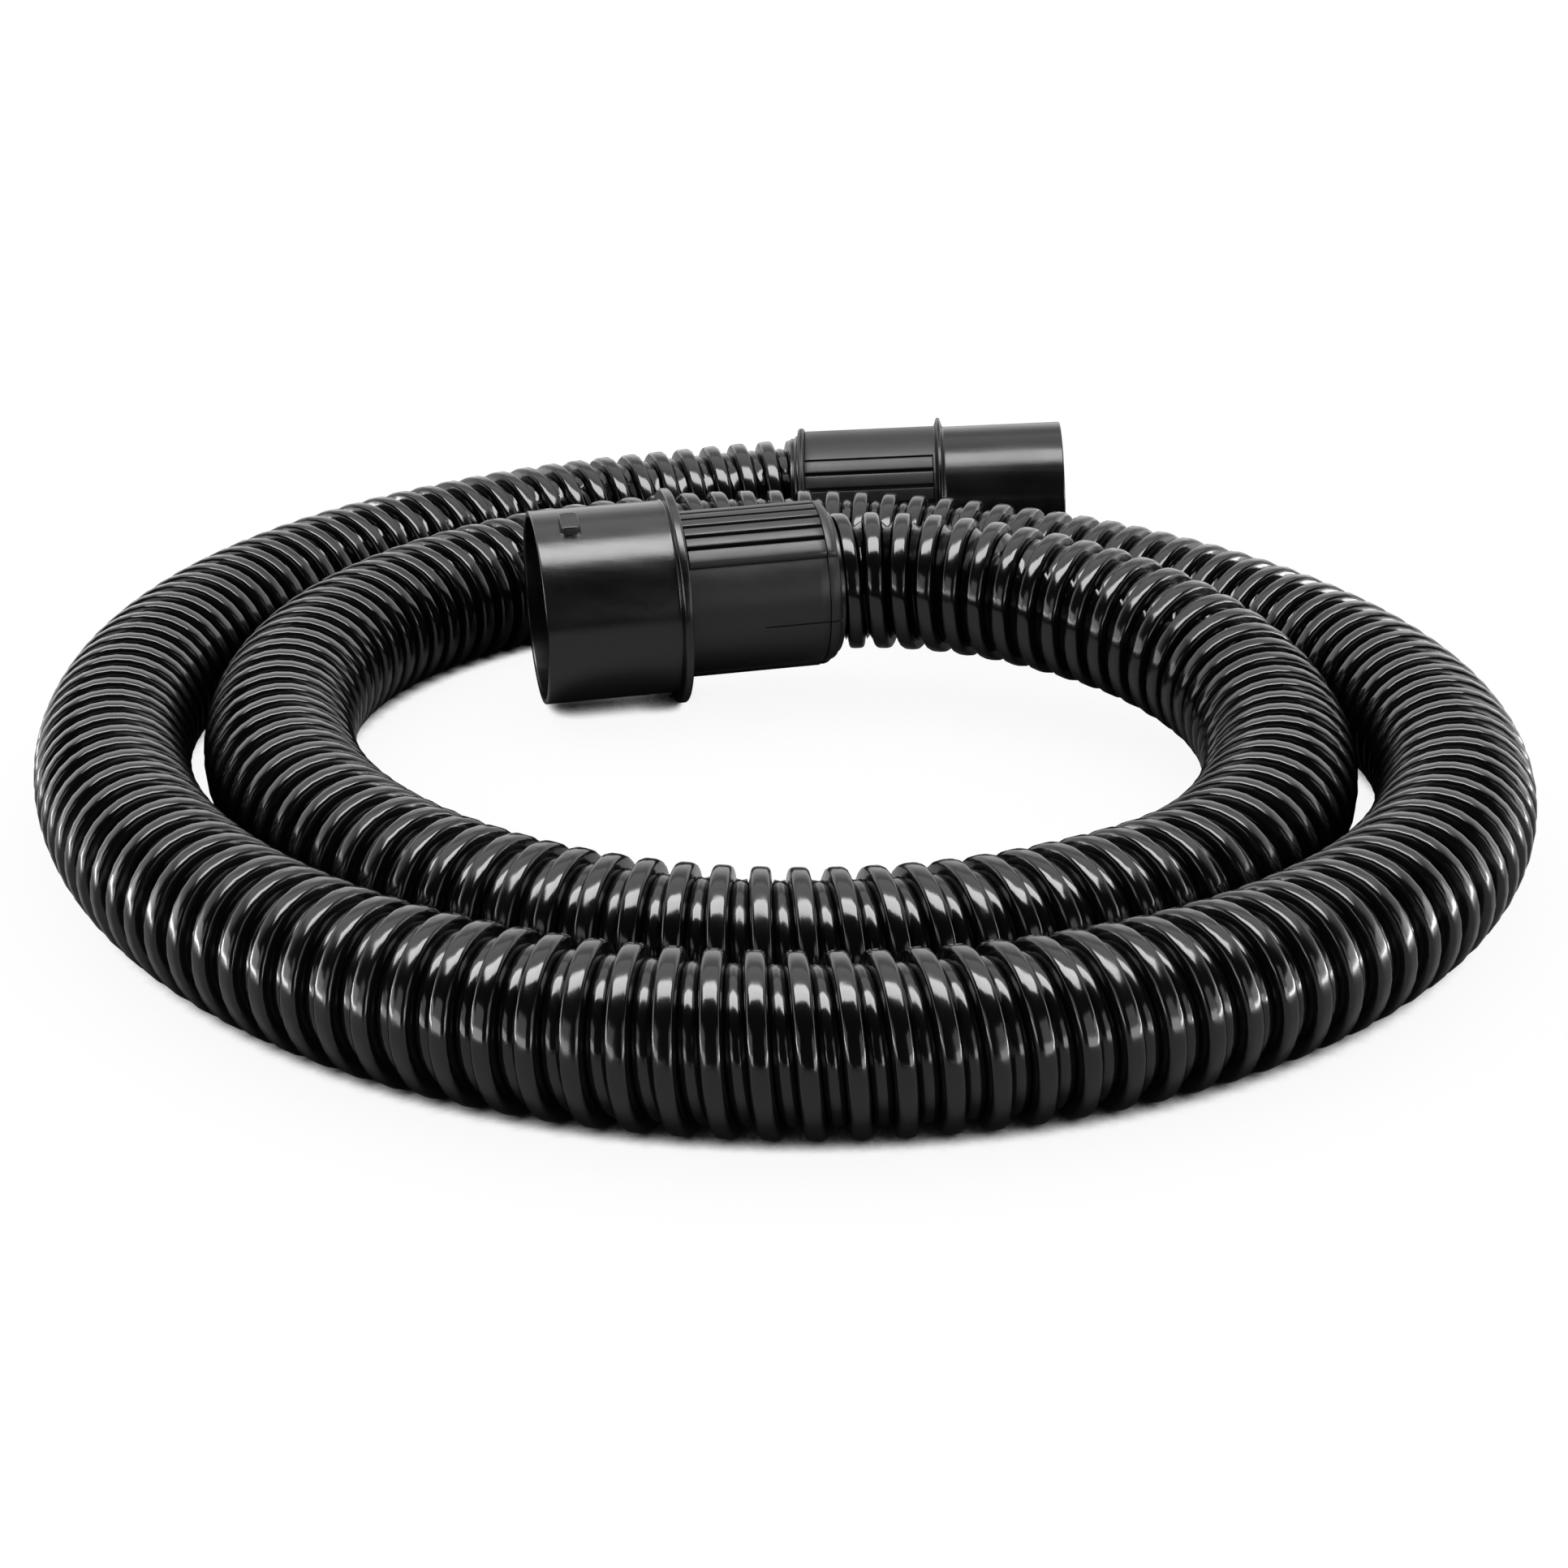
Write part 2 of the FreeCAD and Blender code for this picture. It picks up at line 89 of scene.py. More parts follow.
# The hose's lie, as the source of the solids has it, from the middle of the coil. The coil's radius
# grows by COIL_GROWTH a turn. The oval and the lobe on it each have a size and a shift in degrees.
COIL_START, COIL_STOP, COIL_STEP = 150.0, 690.0, 15.0
COIL_RADIUS, COIL_GROWTH = 115.85, 44.35
COIL_OVAL = (5.77, 27.1)
COIL_LOBE = (1.7, 32.5)
COIL_HEIGHT = 20.0
TANK_FLANGE = np.array([-39.95, 82.93])
TANK_STRAIGHT = (46.8, 73.5, 100.2)
WAND_STRAIGHT = (100.5, 73.7, 46.9)
TANK_BEND = [
    (48.3, 87.2, 34.2),
    (76.2, 72.1, 33.0),
    (100.7, 52.4, 30.6),
    (120.4, 26.9, 24.8),
    (127.1, -4.6, 20.7),
    (123.6, -39.4, 20.0),
    (112.0, -73.3, 20.0),
    (94.7, -101.9, 20.0),
]
WAND_BEND = [
    (-74.5, 199.0, 20.0),
    (-49.5, 206.3, 20.6),
]


def add_camera():
    """The photograph's view: along +Y, and down at an angle to the floor."""
    data = bpy.data.cameras.new("camera")
    data.lens = CAMERA_LENS
    data.sensor_width = SENSOR_WIDTH
    data.clip_start = 0.01
    camera = bpy.data.objects.new("camera", data)
    camera.location = CAMERA_PLACE
    camera.rotation_euler = (math.radians(90 - CAMERA_DOWN), 0, 0)
    bpy.context.scene.collection.objects.link(camera)
    bpy.context.scene.camera = camera


def unit(vectors):
    """Vectors divided by their lengths."""
    return vectors / np.linalg.norm(vectors, axis=-1, keepdims=True)


class End:
    """The frame of one end, from its joint: the mouth, the way into the hose, up, and aside."""

    def __init__(self, joint_name):
        joint = next(joint for joint in frame["joints"] if joint["name"] == joint_name)
        self.along = -unit(np.array(joint["axis"], float))
        self.mouth = np.array(joint["pos_m"], float) / MM - JOINT_PLACE * self.along
        self.up = unit(UP - self.along * self.along[2])
        self.aside = np.cross(self.along, self.up)

    def on_axis(self, place):
        """The point of the axis at a distance from the mouth."""
        return self.mouth + place * self.along

    def around(self, place, angle, radius):
        """Points at a distance from the mouth, an angle from the upper side and a radius."""
        place, angle, radius = np.broadcast_arrays(place, angle, radius)
        outward = np.cos(angle)[..., None] * self.up + np.sin(angle)[..., None] * self.aside
        return self.mouth + place[..., None] * self.along + radius[..., None] * outward


add_camera()
tank = End("tank_swivel")
wand = End("wand_swivel")

# The hose


def coil_points():
    """Points at even steps round the coil. The radius is divided by the cosine of half a step, so that
    the smooth line lies on the coil."""
    degrees = np.arange(COIL_START, COIL_STOP + 1, COIL_STEP)
    radius = COIL_RADIUS + COIL_GROWTH * degrees / 360
    for waves, (size, shift) in ((2, COIL_OVAL), (3, COIL_LOBE)):
        radius += size * np.cos(np.radians(waves * (degrees + shift)))
    radius /= math.cos(math.radians(COIL_STEP / 2))
    turn = np.radians(degrees)
    height = np.full(len(turn), COIL_HEIGHT)
    return np.stack([radius * np.sin(turn), radius * np.cos(turn), height], axis=1)


def route_points():
    """The route's control points in millimetres, from the tank cuff round the coil to the wand cuff."""
    middle = np.append(tank.on_axis(FLANGE_PLACE)[:2] - TANK_FLANGE, 0.0)
    tank_side = [tank.on_axis(place) for place in TANK_STRAIGHT]
    wand_side = [wand.on_axis(place) for place in WAND_STRAIGHT]
    lie = np.concatenate([np.array(TANK_BEND), coil_points(), np.array(WAND_BEND)]) + middle
    return np.concatenate([tank_side, lie, wand_side])


def spline_points(controls):
    """Points of the smooth spline that has these control points, in metres."""
    curve = bpy.data.curves.new("hose_route", "CURVE")
    curve.dimensions = "3D"
    spline = curve.splines.new("NURBS")
    spline.points.add(len(controls) - 1)
    weighted = np.column_stack([controls * MM, np.ones(len(controls))])
    spline.points.foreach_set("co", weighted.ravel())
    spline.order_u = 3
    spline.use_endpoint_u = True
    spline.resolution_u = 24
    holder = bpy.data.objects.new("hose_route", curve)
    mesh = bpy.data.meshes.new_from_object(holder)
    points = np.empty(3 * len(mesh.vertices))
    mesh.vertices.foreach_get("co", points)
    bpy.data.objects.remove(holder)
    bpy.data.curves.remove(curve)
    bpy.data.meshes.remove(mesh)
    return points.reshape(-1, 3)


def smoothed(rows, reach=6):
    """Rows averaged with their neighbours on each side, the nearer ones counting for more."""
    window = np.hanning(2 * reach + 1)
    window /= window.sum()
    padded = np.pad(rows, ((reach, reach), (0, 0)), mode="edge")
    return np.stack([np.convolve(column, window, "valid") for column in padded.T], axis=1)


class Line:
    """The hose's middle line: its points in metres, their distances, their directions and bends."""

    def __init__(self, points):
        apart = np.linalg.norm(np.diff(points, axis=0), axis=1)
        self.points = points[np.append(True, apart > 1e-7)]
        steps = np.linalg.norm(np.diff(self.points, axis=0), axis=1)
        self.distance = np.append(0.0, np.cumsum(steps))
        self.length = self.distance[-1]
        self.along = unit(smoothed(np.gradient(self.points, self.distance, axis=0)))
        self.bend = smoothed(np.gradient(self.along, self.distance, axis=0))

    def at(self, distance, rows):
        """Rows of a table along the line, read between its points."""
        return np.stack([np.interp(distance, self.distance, column) for column in rows.T], axis=-1)

    def outward(self, distance, angle):
        """The direction from the middle at an angle from the upper side: cosine up and sine aside."""
        along = unit(self.at(distance, self.along))
        up = unit(UP - along * along[..., 2:])
        aside = np.cross(along, up)
        return np.cos(angle)[..., None] * up + np.sin(angle)[..., None] * aside

    def around(self, distance, angle, radius):
        """Points at a distance along the line, an angle and a radius."""
        distance, angle, radius = np.broadcast_arrays(distance, angle, radius)
        return self.at(distance, self.points) + radius[..., None] * self.outward(distance, angle)

    def stretch(self, distance, angle):
        """Length of the ribs' surface over that of the middle line: one less the radius times the bend
        towards that side, so over one outside a bend and under one inside it."""
        distance, angle = np.broadcast_arrays(distance, angle)
        towards = (self.at(distance, self.bend) * self.outward(distance, angle)).sum(axis=-1)
        return np.clip(1 - RIB_MIDDLE * MM * towards, LEAST_STRETCH, MOST_STRETCH)


# Meshes from grids


def grid(points, close_rows=False, close_columns=False):
    """A patch: the grid's points in one list, and a four-sided face between each point, the next in
    its row and the two in the next row. A closed grid's last row or column meets its first."""
    rows, columns = points.shape[:2]
    index = np.arange(rows * columns).reshape(rows, columns)
    if close_rows:
        index = np.vstack([index, index[:1]])
    if close_columns:
        index = np.hstack([index, index[:, :1]])
    corners = [index[:-1, :-1], index[1:, :-1], index[1:, 1:], index[:-1, 1:]]
    return points.reshape(-1, 3), np.stack(corners, axis=-1).reshape(-1, 4)


def add_piece(name, patches, body, nodes, material, sharp=40.0):
    """One closed mesh of patches in metres. Points that meet are merged, faces are turned outwards,
    and edges sharper than an angle stay sharp."""
    counts = np.cumsum([0] + [len(points) for points, faces in patches])
    points = np.concatenate([points for points, faces in patches])
    faces = np.concatenate([faces + start for (_, faces), start in zip(patches, counts)])
    mesh = bpy.data.meshes.new(name)
    mesh.from_pydata(points, [], faces)
    work = bmesh.new()
    work.from_mesh(mesh)
    bmesh.ops.remove_doubles(work, verts=work.verts, dist=2e-6)
    bmesh.ops.recalc_face_normals(work, faces=work.faces)
    work.to_mesh(mesh)
    work.free()
    mesh.shade_smooth()
    mesh.set_sharp_from_angle(angle=math.radians(sharp))
    mesh.materials.append(material)
    piece = bpy.data.objects.new(name, mesh)
    bpy.context.scene.collection.objects.link(piece)
    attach(piece, body)
    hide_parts(*nodes)
    return piece


def smooth_step(value, low, high):
    """0 below the low value and 1 above the high one, with a smooth S between."""
    share = np.clip((value - low) / (high - low), 0, 1)
    return share * share * (3 - 2 * share)


def hose_rows(line, turns):
    """Distance, angle and radius of the ribs' surface in millimetres. A rib's middle advances by one
    turn length in each turn. The wide rib keeps its real width, so its half width is divided by the
    stretch. The low rib fills the rest between two grooves, and sinks where the stretch is under one
    and beside the tank cuff."""
    angle = np.linspace(0, ROUND, HOSE_SIDES + 1)
    wide = TURN_LENGTH * (turns[:, None] + angle / ROUND)
    low = wide + TURN_LENGTH / 2
    wide_stretch = line.stretch(wide * MM, angle)
    low_stretch = line.stretch(low * MM, angle)
    raised = smooth_step(low_stretch, *RISES_WITH_STRETCH) * smooth_step(low, *RISES_FROM_CUFF)
    half = np.maximum(TURN_LENGTH / 2 - GROOVE_EDGE / low_stretch, LEAST_HALF_WIDTH)
    crest_radius = LOW_RIB_CREST[0] + (LOW_RIB_CREST[1] - LOW_RIB_CREST[0]) * raised
    edge_radius = LOW_RIB_EDGE[0] + (LOW_RIB_EDGE[1] - LOW_RIB_EDGE[0]) * raised
    rows = [(wide - width / wide_stretch, radius) for width, radius in WIDE_RIB[::-1]]
    rows += [(wide + width / wide_stretch, radius) for width, radius in WIDE_RIB]
    rows += [(low - half, edge_radius), (low, crest_radius), (low + half, edge_radius)]
    distance = np.stack([place for place, radius in rows], axis=1)
    radius = np.stack([np.broadcast_to(radius, wide.shape) for place, radius in rows], axis=1)
    shape = (-1, HOSE_SIDES + 1)
    return distance.reshape(shape), angle[None, :], radius.reshape(shape)


def hose_patches(line):
    """The ribs' surface, the bore and the two ends. The ribs start outside the line, rows that pass an
    end are held there, the ribs shrink to the end's radius near it, and nothing reaches below the
    floor."""
    length = line.length / MM
    turns = np.arange(-TURNS_BEFORE_START, math.ceil(length / TURN_LENGTH) + 1)
    distance, angle, radius = hose_rows(line, turns)
    inside = np.flatnonzero((distance.max(axis=1) > 0) & (distance.min(axis=1) < length))
    kept = slice(inside[0] - 1, inside[-1] + 2)
    distance, radius = np.clip(distance[kept], 0, length), radius[kept]
    share = np.clip(np.minimum(distance, length - distance) / END_TAPER, 0, 1)
    radius = HOSE_END + (radius - HOSE_END) * share
    outer = line.around(distance * MM, angle, radius * MM)
    outer[..., 2] = np.maximum(outer[..., 2], 0.0)
    along = np.linspace(0, line.length, BORE_ROWS)[:, None]
    bore = line.around(along, angle, HOSE_BORE * MM)
    patches = [grid(outer), grid(bore)]
    for place in (0.0, line.length):
        across = np.array([[HOSE_BORE], [HOSE_END]]) * MM
        patches.append(grid(line.around(place, angle, across)))
    return patches


# Shading


class Wire:
    """A node's output. A sum on it adds the Math nodes that work it out."""

    def __init__(self, board, socket):
        self.board = board
        self.socket = socket

    def __add__(self, other):
        return self.board.sum("ADD", self, other)

    def __radd__(self, other):
        return self.board.sum("ADD", other, self)

    def __sub__(self, other):
        return self.board.sum("SUBTRACT", self, other)

    def __rsub__(self, other):
        return self.board.sum("SUBTRACT", other, self)

    def __mul__(self, other):
        return self.board.sum("MULTIPLY", self, other)

    def __rmul__(self, other):
        return self.board.sum("MULTIPLY", other, self)


class Board:
    """A node tree that is emptied and built up node by node."""

    def __init__(self, tree):
        self.tree = tree
        tree.nodes.clear()

    def add(self, kind, settings, sockets):
        """A node of a kind. Its settings are set first, then the values or wires of its sockets."""
        node = self.tree.nodes.new(kind)
        for name, value in settings.items():
            setattr(node, name, value)
        for name, value in sockets.items():
            if isinstance(value, Wire):
                self.tree.links.new(value.socket, node.inputs[name])
            else:
                node.inputs[name].default_value = value
        return node

    def out(self, node, name):
        """The wire from a node's output, by its name or number."""
        return Wire(self, node.outputs[name])

    def sum(self, operation, first, second):
        """The result of a Math node."""
        node = self.add("ShaderNodeMath", {"operation": operation}, {0: first, 1: second})
        return self.out(node, "Value")

    def limit(self, value, low, high, start, stop):
        """A value taken smoothly from one range to another, and held at its ends."""
        sockets = {"Value": value, "From Min": low, "From Max": high, "To Min": start, "To Max": stop}
        node = self.add("ShaderNodeMapRange", {"interpolation_type": "SMOOTHSTEP"}, sockets)
        return self.out(node, "Result")

    def place(self):
        """The piece's own coordinates."""
        return self.out(self.add("ShaderNodeTexCoord", {}, {}), "Object")

    def mark(self, name):
        """A number that the mesh keeps at each of its points."""
        return self.out(self.add("ShaderNodeAttribute", {"attribute_name": name}, {}), "Fac")

    def stretched(self, vector, turn, scale):
        """Coordinates turned about Z, then scaled along each axis."""
        sockets = {"Vector": vector, "Rotation": (0, 0, turn), "Scale": scale}
        node = self.add("ShaderNodeMapping", {}, sockets)
        return self.out(node, "Vector")

    def noise(self, vector, scale, detail=2.0, roughness=0.5):
        """Cloudy noise between 0 and 1."""
        sockets = {"Vector": vector, "Scale": scale, "Detail": detail, "Roughness": roughness}
        return self.out(self.add("ShaderNodeTexNoise", {}, sockets), "Fac")

    def bump(self, height, depth):
        """A normal from a height between 0 and 1 that stands for a depth in metres."""
        node = self.add("ShaderNodeBump", {}, {"Height": height, "Distance": depth, "Strength": 1.0})
        return self.out(node, "Normal")

    def two_colours(self, share, first, second):
        """A mix of colours. They are the node's sockets 6 and 7, and its output 2."""
        sockets = {0: share, 6: (*first, 1), 7: (*second, 1)}
        return self.out(self.add("ShaderNodeMix", {"data_type": "RGBA"}, sockets), 2)

    def shaders(self, share, first, second):
        """A mix of two shaders."""
        sockets = {0: share, 1: first, 2: second}
        return self.out(self.add("ShaderNodeMixShader", {}, sockets), "Shader")


def new_material(name):
    """A material and the board of its nodes."""
    material = bpy.data.materials.new(name)
    material.use_nodes = True
    return material, Board(material.node_tree)


def finish_with(board, sockets):
    """The shader with these sockets, as the material's surface."""
    shader = board.add("ShaderNodeBsdfPrincipled", {}, sockets)
    board.add("ShaderNodeOutputMaterial", {}, {"Surface": board.out(shader, "BSDF")})


def gloss_black_vinyl():
    """The hose: deep black and glossy, with slow waves that bend its reflections."""
    material, board = new_material("gloss_black_vinyl")
    place = board.place()
    waves = board.noise(place, scale=95.0)
    cloud = board.noise(place, scale=38.0, detail=4.0, roughness=0.6)
    grain = board.noise(place, scale=1500.0)
    height = 0.9 * waves + 0.02 * grain
    finish_with(
        board,
        {
            "Base Color": board.two_colours(cloud, (0.002, 0.002, 0.0022), (0.0036, 0.0036, 0.0038)),
            "Roughness": board.limit(cloud, 0.35, 0.7, 0.12, 0.18),
            "IOR": 1.5,
            "Normal": board.bump(height, depth=0.0003),
        },
    )
    return material


def satin_black_moulding(name, turn, index):
    """The cuffs: satin black, duller on the grips, with a fine moulded grain, clouds and faint streaks
    along the cuff. turn brings the cuff's axis to X, and index is the plastic's index of refraction."""
    material, board = new_material(name)
    place = board.place()
    lengthwise = board.stretched(place, turn, scale=(12.0, 420.0, 420.0))
    streaks = board.noise(lengthwise, scale=1.0, detail=3.0)
    cloud = board.noise(place, scale=60.0, detail=4.0, roughness=0.6)
    grain = board.noise(place, scale=2600.0)
    height = 0.3 * grain + 0.4 * streaks + 1.2 * cloud
    gloss = board.limit(0.6 * cloud + 0.4 * streaks, 0.3, 0.7, 0.18, 0.27)
    finish_with(
        board,
        {
            "Base Color": board.two_colours(cloud, (0.0035, 0.0035, 0.0037), (0.0058, 0.0058, 0.006)),
            "Roughness": gloss + 0.2 * board.mark("grip"),
            "IOR": index,
            "Normal": board.bump(height, depth=0.00006),
        },
    )
    return material


def dark_rubber():
    """The seals: matt black rubber."""
    material, board = new_material("dark_rubber")
    place = board.place()
    grain = board.noise(place, scale=1200.0, detail=3.0)
    finish_with(
        board,
        {
            "Base Color": board.two_colours(grain, (0.012, 0.012, 0.012), (0.022, 0.022, 0.022)),
            "Roughness": board.limit(grain, 0.3, 0.7, 0.62, 0.78),
            "Normal": board.bump(grain, depth=0.00004),
        },
    )
    return material


vinyl = gloss_black_vinyl()
tank_moulding = satin_black_moulding("satin_black_tank", turn=math.radians(-11.35), index=1.5)
wand_moulding = satin_black_moulding("satin_black_wand", turn=math.radians(1.39), index=1.43)
rubber = dark_rubber()

hose_line = Line(spline_points(route_points()))
hose = add_piece(
    "ribbed_hose", hose_patches(hose_line), "hose", ["hose_tube"], vinyl, sharp=HOSE_SHARP
)

# The cuffs, rings and sleeves

ARC_STEPS = 4
ARC_SUPPORT = 0.3
LONGEST_LEG = 3.0


def rounded(corners):
    """A closed outline of radius and place with arcs in its corners. Each arc is of the corner's own
    radius and touches both legs. A support point past each end of an arc keeps its leg flat."""
    count = len(corners)
    flat = np.array([corner[:2] for corner in corners], float)
    outline = []
    for i, corner in enumerate(corners):
        radius = corner[2]
        if radius == 0:
            outline.append(flat[i])
            continue
        back = unit(flat[i - 1] - flat[i])
        ahead = unit(flat[(i + 1) % count] - flat[i])
        half = math.acos(max(-1.0, min(1.0, back @ ahead))) / 2
        reach = radius / math.tan(half)
        centre = flat[i] + unit(back + ahead) * radius / math.sin(half)
        start, stop = flat[i] + back * reach - centre, flat[i] + ahead * reach - centre
        sweep = math.pi - 2 * half
        share = np.linspace(0, 1, ARC_STEPS + 1)[:, None]
        arc = (np.sin((1 - share) * sweep) * start + np.sin(share * sweep) * stop) / math.sin(sweep)
        support = min(ARC_SUPPORT, radius)
        outline.append(flat[i] + back * (reach + support))
        outline.extend(arc + centre)
        outline.append(flat[i] + ahead * (reach + support))
    return np.array(outline)


def filled(outline):
    """The closed outline with points added on its long legs."""
    ahead = np.roll(outline, -1, axis=0)
    parts = []
    for start, stop in zip(outline, ahead):
        count = max(1, math.ceil(np.linalg.norm(stop - start) / LONGEST_LEG))
        parts.append(start + (stop - start) * np.arange(count)[:, None] / count)
    return np.concatenate(parts)


def turned(end, corners, angle, shaped=None):
    """A patch: the rounded outline of radius and place carried round the end's axis. Where a shape is
    given, it works out the radius from the outline's radius, the place and the angle."""
    radius, place = filled(rounded(corners)).T
    radius, place, angle = radius[:, None], place[:, None], angle[None, :]
    if shaped:
        radius = shaped(radius, place, angle)
    return grid(end.around(place, angle, radius) * MM, close_rows=True, close_columns=True)


def turn_apart(angle, marks):
    """Degrees from each angle to the nearest of some marks."""
    turn = np.degrees(angle)[..., None] - np.asarray(marks)
    return np.abs((turn + 180) % 360 - 180).min(axis=-1)


class Grip:
    """The grip of a cuff, in millimetres and degrees: two groups of six raised strips on opposite
    sides of a round panel, with sunk grooves between the strips. A group ends in a rounded step or,
    where edge_groove says so, in a groove."""

    STEP_DEGREES = [0.0, 1.0, 2.0, 3.0, 3.6, 3.9]
    STEP_SHARES = [1.0, 0.95, 0.8, 0.5, 0.2, 0.0]
    GROOVE_DEGREES = [1.05, 1.4, 1.6, 2.1]
    GROOVE_SHARES = [0.0, 0.8, 0.96, 1.0]
    GROOVE_DEPTH = 0.75
    PAST_GROOVE = 3.0
    START_LENGTH = 0.4
    COLUMN_STEP = 2.5
    LEAST_COLUMN_STEP = 0.8

    def __init__(self, panel, rise, start, pitch, centre, edge_groove=False, crown=0.12):
        self.panel, self.rise, self.start = panel, rise, start
        self.pitch, self.crown = pitch, crown
        self.centres = [centre, centre + 180]
        self.half = 3 * pitch
        self.edge_groove = edge_groove
        inner = pitch * (np.arange(7) - 3)
        if not edge_groove:
            inner = inner[1:-1]
        self.grooves = np.concatenate([centre + inner, centre + 180 + inner])

    def raised(self, angle):
        """1 on a group of strips and 0 beside it, with its rounded or sharp side between."""
        past = turn_apart(angle, self.centres) - self.half
        if self.edge_groove:
            return np.interp(past, [-0.01, 0.01], [1.0, 0.0])
        return np.interp(past, self.STEP_DEGREES, self.STEP_SHARES)

    def height(self, place, angle):
        """How far the grip's surface stands above the panel: the lower of the raised group and the
        sides of the nearest groove, less the strips' crown, from just past the flange on."""
        beside = turn_apart(angle, self.grooves)
        group = self.raised(angle)
        side = np.interp(beside, self.GROOVE_DEGREES, self.GROOVE_SHARES)
        from_floor = (self.rise + self.GROOVE_DEPTH) * side
        height = np.minimum(self.rise * group, from_floor - self.GROOVE_DEPTH)
        off_middle = np.clip(1 - 2 * beside / self.pitch, 0, 1)
        height = height - self.crown * group * off_middle**2
        return height * np.interp(place, [self.start, self.start + self.START_LENGTH], [0.0, 1.0])

    def columns(self, slit=None):
        """Angles at even steps, and close together at the grooves, the groups' sides and a slit."""
        beside = np.array([0.0, *self.GROOVE_DEGREES, self.PAST_GROOVE])
        edges = [self.grooves[:, None] + beside, self.grooves[:, None] - beside]
        if not self.edge_groove:
            centres, sides = np.array(self.centres)[:, None], self.half + np.array(self.STEP_DEGREES)
            edges += [centres + sides, centres - sides]
        if slit:
            beside = np.array([0.0, *slit.HALF_WIDTHS, slit.PAST_SLIT])
            edges += [slit.angle + beside, slit.angle - beside]
        edges = np.concatenate([edge.ravel() for edge in edges]) % 360
        even = np.radians(np.arange(0, 360, self.COLUMN_STEP))
        even = np.degrees(even[turn_apart(even, edges) > self.LEAST_COLUMN_STEP])
        return np.radians(np.unique(np.round(np.concatenate([even, edges]), 4)))


class Slit:
    """A fine slit that runs along the grip at one angle, from a place on. Its half widths, in degrees,
    are those of its floor and of its mouth."""

    HALF_WIDTHS = [0.25, 0.6]
    PAST_SLIT = 0.9

    def __init__(self, angle, start, depth):
        self.angle, self.start, self.depth = angle, start, depth

    def sunk(self, place, angle):
        """How deep the slit is at a place and an angle."""
        across = np.interp(turn_apart(angle, [self.angle]), self.HALF_WIDTHS, [self.depth, 0.0])
        return across * (place > self.start)


# How long and how deep the grip is drawn in at its end.
GRIP_EDGE = (0.25, 0.2)


def cuff_patch(end, corners, grip, slit=None):
    """The cuff's outline carried round its axis, with the strips' height added where the outline runs
    along the grip's panel, and a slit sunk into it."""
    stop = max(place for radius, place, corner in corners)

    def shaped(radius, place, angle):
        on_panel = (np.abs(radius - grip.panel) < 1e-6) & (place > grip.start - 0.01)
        edge = np.interp(place, [stop - GRIP_EDGE[0], stop], [0.0, GRIP_EDGE[1]])
        height = grip.height(place, angle) - edge
        if slit:
            height = height - slit.sunk(place, angle)
        return radius + on_panel * height

    return turned(end, corners, grip.columns(slit), shaped)


def ring_patch(end, corners, grip, slit, foot, beside):
    """The tank ring: above its foot it is lower beside the groups of strips, by the share beside. The
    slit is sunk into what stands above the foot."""

    def shaped(radius, place, angle):
        share = beside + (1 - beside) * grip.raised(angle)
        height = np.maximum(radius - foot, 0) * share
        return np.minimum(radius, foot) + height - slit.sunk(place, angle) * (height > 0.1)

    return turned(end, corners, grip.columns(slit), shaped)


# How much wider than the lug an outline is, and its share of the lug's height.
LUG_LEVELS = [
    (0.6, -0.35),
    (0.5, -0.1),
    (0.22, 0.02),
    (0.1, 0.1),
    (0.06, 0.2),
    (-0.12, 0.78),
    (-0.17, 0.87),
    (-0.3, 0.95),
    (-0.5, 0.99),
    (-0.75, 1.0),
    (-1.1, 1.0),
    (-1.9, 1.0),
    (-2.5, 1.0),
]
LUG_POINTS = 48
LUG_LEAST_CORNER = 0.3


def lug_patch(end, place, angle, width, length, height, barrel, corner):
    """The lug: a square outline with round corners, carried outwards and drawn in towards its top.
    Its foot widens into the barrel, and its first and last outlines close to a point."""
    turn = np.arange(LUG_POINTS) * ROUND / LUG_POINTS
    circle = np.stack([np.cos(turn), np.sin(turn)], axis=1)
    way = np.where(np.abs(circle) < 1e-9, 0, np.sign(circle))
    rings = []
    for wider, share in [LUG_LEVELS[0], *LUG_LEVELS, LUG_LEVELS[-1]]:
        round_corner = max(corner + wider, LUG_LEAST_CORNER)
        flat = np.maximum(np.array([width / 2, length / 2]) + wider - round_corner, 0.0)
        grown = flat * way + round_corner * circle
        rings.append(np.column_stack([grown, np.full(len(turn), barrel + share * height)]))
    rings = np.array(rings)
    rings[[0, -1], :, :2] = 0.0
    across, along, out = np.moveaxis(rings, -1, 0)
    rise, lean = math.cos(math.radians(angle)), math.sin(math.radians(angle))
    outward = rise * end.up + lean * end.aside
    sideways = rise * end.aside - lean * end.up
    points = end.mouth + (place + along)[..., None] * end.along
    points = (points + out[..., None] * outward + across[..., None] * sideways) * MM
    return grid(points, close_columns=True)


# The sleeves' bore and their thread, with places across the thread and the share of its depth there.
SLEEVE_SIDES = 96
SLEEVE_BORE = 20.6
THREAD_CREST = 18.2
THREAD_FORM = [(-1.9, 0), (-1.3, 1), (1.3, 1), (1.9, 0)]
THREAD_TURNS = 6
THREAD_LENGTH = 30.0
THREAD_FADE = 3.0


